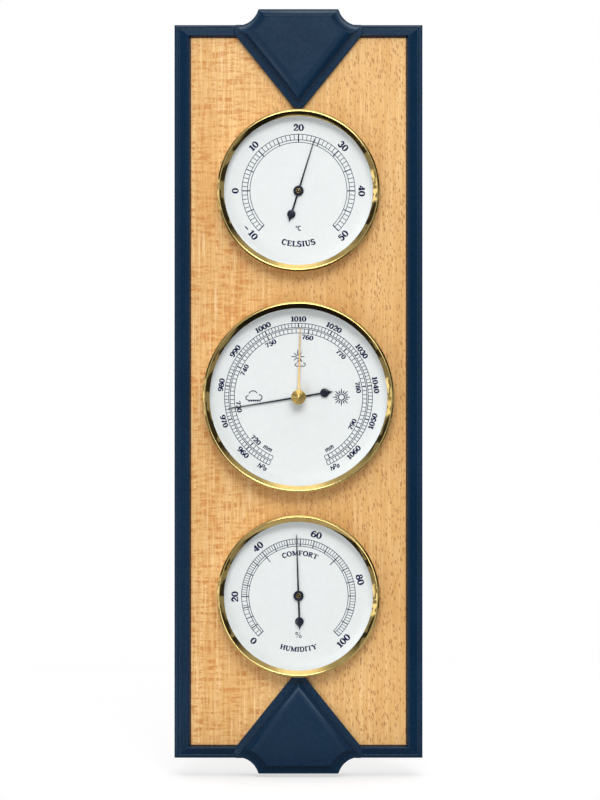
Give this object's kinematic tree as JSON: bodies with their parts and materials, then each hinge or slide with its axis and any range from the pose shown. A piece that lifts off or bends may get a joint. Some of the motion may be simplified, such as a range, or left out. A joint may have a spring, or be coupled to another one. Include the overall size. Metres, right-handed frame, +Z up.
{
  "type": "weather station",
  "caption": "Wall weather station: framed beech board with a dial thermometer, an aneroid barometer with set hand and a dial hygrometer one above the other.",
  "frame": {"origin": "centre of the round part of the hanging keyhole, on the wall plane", "axes": "+Z up along the board, +Y into the wall, +X to the right as seen from the front"},
  "size_m": [0.13, 0.0325, 0.4],
  "materials": {
    "navy_lacquer": "satin navy lacquer over moulded wood",
    "beech": "satin clear lacquer over beech veneer",
    "fibreboard": "raw",
    "polished_brass": "polished and lacquered",
    "movement_brass": "fine turned",
    "steel": "brushed",
    "capsule_alloy": "nickel silver",
    "humidity_strip": "coated strip",
    "black_enamel": "satin black",
    "black_plastic": "matte",
    "white_plastic": "matte",
    "dial_white": "satin white print base",
    "rubber": "matte",
    "glass": "clear"
  },
  "bodies": {
    "root": {"board_core": "fibreboard", "beech_veneer": "beech", "left_rail": "navy_lacquer", "right_rail": "navy_lacquer", "top_rail": "navy_lacquer", "bottom_rail": "navy_lacquer", "top_keystone": "navy_lacquer", "bottom_keystone": "navy_lacquer", "keystone_screws": "steel", "hanger_plate": "steel", "hanger_screws": "steel", "wall_bumpers": "rubber", "thermometer_case": "black_plastic", "thermometer_bezel": "polished_brass", "thermometer_glass": "glass", "thermometer_spacer_ring": "white_plastic", "thermometer_dial": "dial_white", "thermometer_bridge": "movement_brass", "thermometer_bridge_screws": "steel", "hygrometer_case": "black_plastic", "hygrometer_bezel": "polished_brass", "hygrometer_glass": "glass", "hygrometer_spacer_ring": "white_plastic", "hygrometer_dial": "dial_white", "hygrometer_bridge": "movement_brass", "hygrometer_bridge_screws": "steel", "barometer_case": "black_plastic", "barometer_bezel": "polished_brass", "barometer_glass": "glass", "barometer_spacer_ring": "white_plastic", "barometer_dial": "dial_white", "movement_plate": "steel", "movement_plate_screws": "steel", "aneroid_capsule": "capsule_alloy", "spring_bracket": "movement_brass", "main_spring": "steel", "rocker_bracket": "movement_brass", "chain": "steel", "hairspring": "steel", "arbor_bridge": "movement_brass", "arbor_cock": "movement_brass"},
    "thermometer_setting": {"thermometer_adjuster": "movement_brass", "thermometer_coil": "steel"},
    "thermometer_needle": {"thermometer_arbor": "steel", "thermometer_pointer": "black_enamel", "thermometer_pointer_cap": "polished_brass"},
    "hygrometer_setting": {"hygrometer_adjuster": "movement_brass", "hygrometer_coil": "humidity_strip"},
    "hygrometer_needle": {"hygrometer_arbor": "steel", "hygrometer_pointer": "black_enamel", "hygrometer_pointer_cap": "polished_brass"},
    "barometer_needle": {"barometer_arbor": "steel", "barometer_pointer": "black_enamel"},
    "rocker": {"rocking_shaft": "steel"},
    "lever": {"lever_arm": "steel"},
    "adjuster": {"adjusting_screw": "movement_brass"},
    "set_marker": {"set_hand": "polished_brass", "set_hand_washer": "steel", "set_hand_knob": "polished_brass"}
  },
  "joints": [
    {"name": "thermometer_adjust", "type": "hinge", "parent": "root", "child": "thermometer_setting", "pos_m": [0, -0.006, -0.059], "axis": [0, 1, 0], "range_deg": [-20, 20]},
    {"name": "thermometer_reading", "type": "hinge", "parent": "thermometer_setting", "child": "thermometer_needle", "pos_m": [0, -0.015, -0.059], "axis": [0, 1, 0], "range_deg": [-152, 118], "stiffness_Nm_per_rad": 0.0002, "deforming": ["thermometer_coil"]},
    {"name": "hygrometer_adjust", "type": "hinge", "parent": "root", "child": "hygrometer_setting", "pos_m": [0, -0.006, -0.271], "axis": [0, 1, 0], "range_deg": [-20, 20]},
    {"name": "hygrometer_reading", "type": "hinge", "parent": "hygrometer_setting", "child": "hygrometer_needle", "pos_m": [0, -0.015, -0.271], "axis": [0, 1, 0], "range_deg": [-133, 137], "stiffness_Nm_per_rad": 0.0002, "deforming": ["hygrometer_coil"]},
    {"name": "barometer_reading", "type": "hinge", "parent": "root", "child": "barometer_needle", "pos_m": [0, -0.018, -0.167], "axis": [0, 1, 0], "range_deg": [-57, 256], "stiffness_Nm_per_rad": 0.0002, "deforming": ["chain", "hairspring", "aneroid_capsule", "main_spring"]},
    {"name": "rocking_shaft_turn", "type": "hinge", "parent": "root", "child": "rocker", "pos_m": [0, -0.0085, -0.142], "axis": [-1, 0, 0], "range_deg": [-7.5, 32.83], "deforming": ["chain"]},
    {"name": "lever_flex", "type": "hinge", "parent": "root", "child": "lever", "pos_m": [0, -0.01365, -0.191], "axis": [-1, 0, 0], "range_deg": [-0.58, 2.49], "deforming": ["aneroid_capsule", "main_spring"]},
    {"name": "barometer_adjust", "type": "hinge", "parent": "root", "child": "adjuster", "pos_m": [0, -0.0034, -0.1955], "axis": [0, 1, 0], "range_deg": [-90, 90]},
    {"name": "set_hand_turn", "type": "hinge", "parent": "root", "child": "set_marker", "pos_m": [0, -0.0265, -0.167], "axis": [0, 1, 0], "continuous": true}
  ],
  "couplings": [
    {"joint": "rocking_shaft_turn", "follows": "barometer_reading", "ratio": 0.1275},
    {"joint": "lever_flex", "follows": "barometer_reading", "ratio": 0.0096226}
  ]
}
